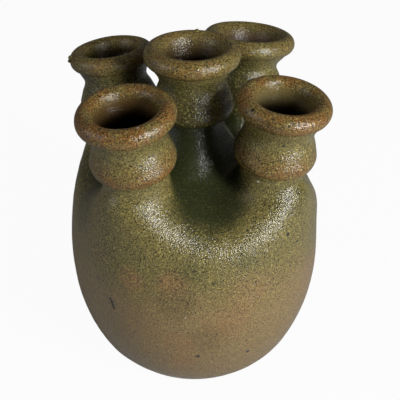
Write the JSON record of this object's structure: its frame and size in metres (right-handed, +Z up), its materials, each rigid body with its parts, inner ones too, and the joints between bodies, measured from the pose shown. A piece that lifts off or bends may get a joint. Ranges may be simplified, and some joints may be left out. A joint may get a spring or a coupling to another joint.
{
  "type": "quintal vase",
  "caption": "Round-bellied stoneware flower vase with a ring of leaning trumpet necks round an upright middle neck, in a speckled olive glaze.",
  "frame": {"origin": "on the table under the middle of the foot ring", "axes": "+Z up through the middle neck; -Y looks out of the valley between the two front necks, and the outer necks stand on the diagonals"},
  "size_m": [0.15, 0.15, 0.1969],
  "materials": {
    "body_glaze": "semi-gloss speckled olive ash glaze, browner towards the foot",
    "neck_glaze": "semi-gloss speckled olive ash glaze, breaking rust brown on the lips",
    "slip": "glazed over slip, satin"
  },
  "bodies": {
    "root": {"body": "body_glaze", "neck_middle": "neck_glaze", "neck_front_left": "neck_glaze", "neck_front_right": "neck_glaze", "neck_back_left": "neck_glaze", "neck_back_right": "neck_glaze", "slip_seam_middle": "slip", "slip_seam_front_left": "slip", "slip_seam_front_right": "slip", "slip_seam_back_left": "slip", "slip_seam_back_right": "slip"}
  },
  "joints": []
}
